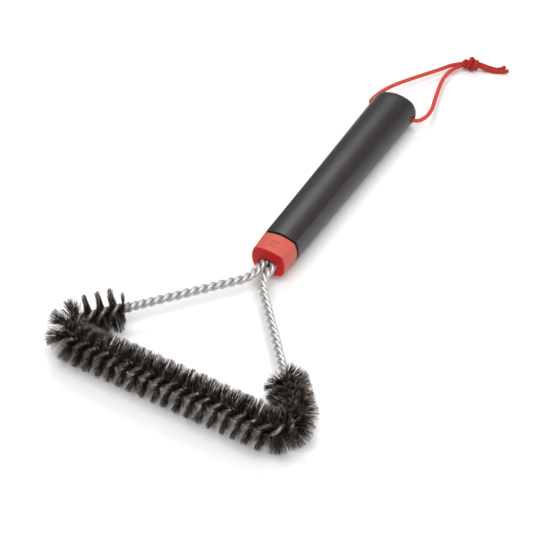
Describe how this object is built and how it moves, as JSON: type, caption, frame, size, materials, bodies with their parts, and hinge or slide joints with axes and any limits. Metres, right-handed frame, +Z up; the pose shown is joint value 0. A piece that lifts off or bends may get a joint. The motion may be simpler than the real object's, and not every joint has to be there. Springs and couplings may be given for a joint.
{
  "type": "grill cleaning brush",
  "caption": "Grill cleaning brush with a flared straight handle, a red collar, a twisted-wire triangular head with dark bristles and a knotted red hanging cord.",
  "frame": {"origin": "bottom centre of the brush without its cord, on the surface it lies on", "axes": "+Z up from that surface, +Y from the bristle head to the handle's free end, X across, x = 0 is the plane of symmetry"},
  "size_m": [0.1814, 0.4019, 0.0286],
  "materials": {
    "grip": "satin moulded charcoal",
    "plug": "matt black",
    "collar": "satin moulded red",
    "stem_wire": "drawn galvanised wire",
    "bristle": "dark crimp-free filaments",
    "cord": "braided"
  },
  "bodies": {
    "brush": {"handle_grip": "grip", "stem_anchor_plug": "plug", "collar": "collar", "stem_wire_a": "stem_wire", "stem_wire_b": "stem_wire", "bristle_tuft_01": "bristle", "bristle_tuft_02": "bristle", "bristle_tuft_03": "bristle", "bristle_tuft_04": "bristle", "bristle_tuft_05": "bristle", "bristle_tuft_06": "bristle", "bristle_tuft_07": "bristle", "bristle_tuft_08": "bristle", "bristle_tuft_09": "bristle", "bristle_tuft_10": "bristle", "bristle_tuft_11": "bristle", "bristle_tuft_12": "bristle", "bristle_tuft_13": "bristle", "bristle_tuft_14": "bristle", "bristle_tuft_15": "bristle", "bristle_tuft_16": "bristle", "bristle_tuft_17": "bristle", "bristle_tuft_18": "bristle", "bristle_tuft_19": "bristle", "bristle_tuft_20": "bristle", "bristle_tuft_21": "bristle", "bristle_tuft_22": "bristle", "bristle_tuft_23": "bristle", "bristle_tuft_24": "bristle", "bristle_tuft_25": "bristle", "bristle_tuft_26": "bristle", "bristle_tuft_27": "bristle", "bristle_tuft_28": "bristle", "bristle_tuft_29": "bristle", "bristle_tuft_30": "bristle"},
    "hanging_loop": {"hang_cord_middle": "cord", "hang_cord_left": "cord", "hang_cord_right": "cord", "hang_knot": "cord", "hang_tail_upper": "cord", "hang_tail_lower": "cord"}
  },
  "joints": [
    {"name": "loop_swing", "type": "hinge", "parent": "brush", "child": "hanging_loop", "pos_m": [0, 0.1482, 0.0105], "axis": [1, 0, 0], "range_deg": [0, 150]}
  ]
}
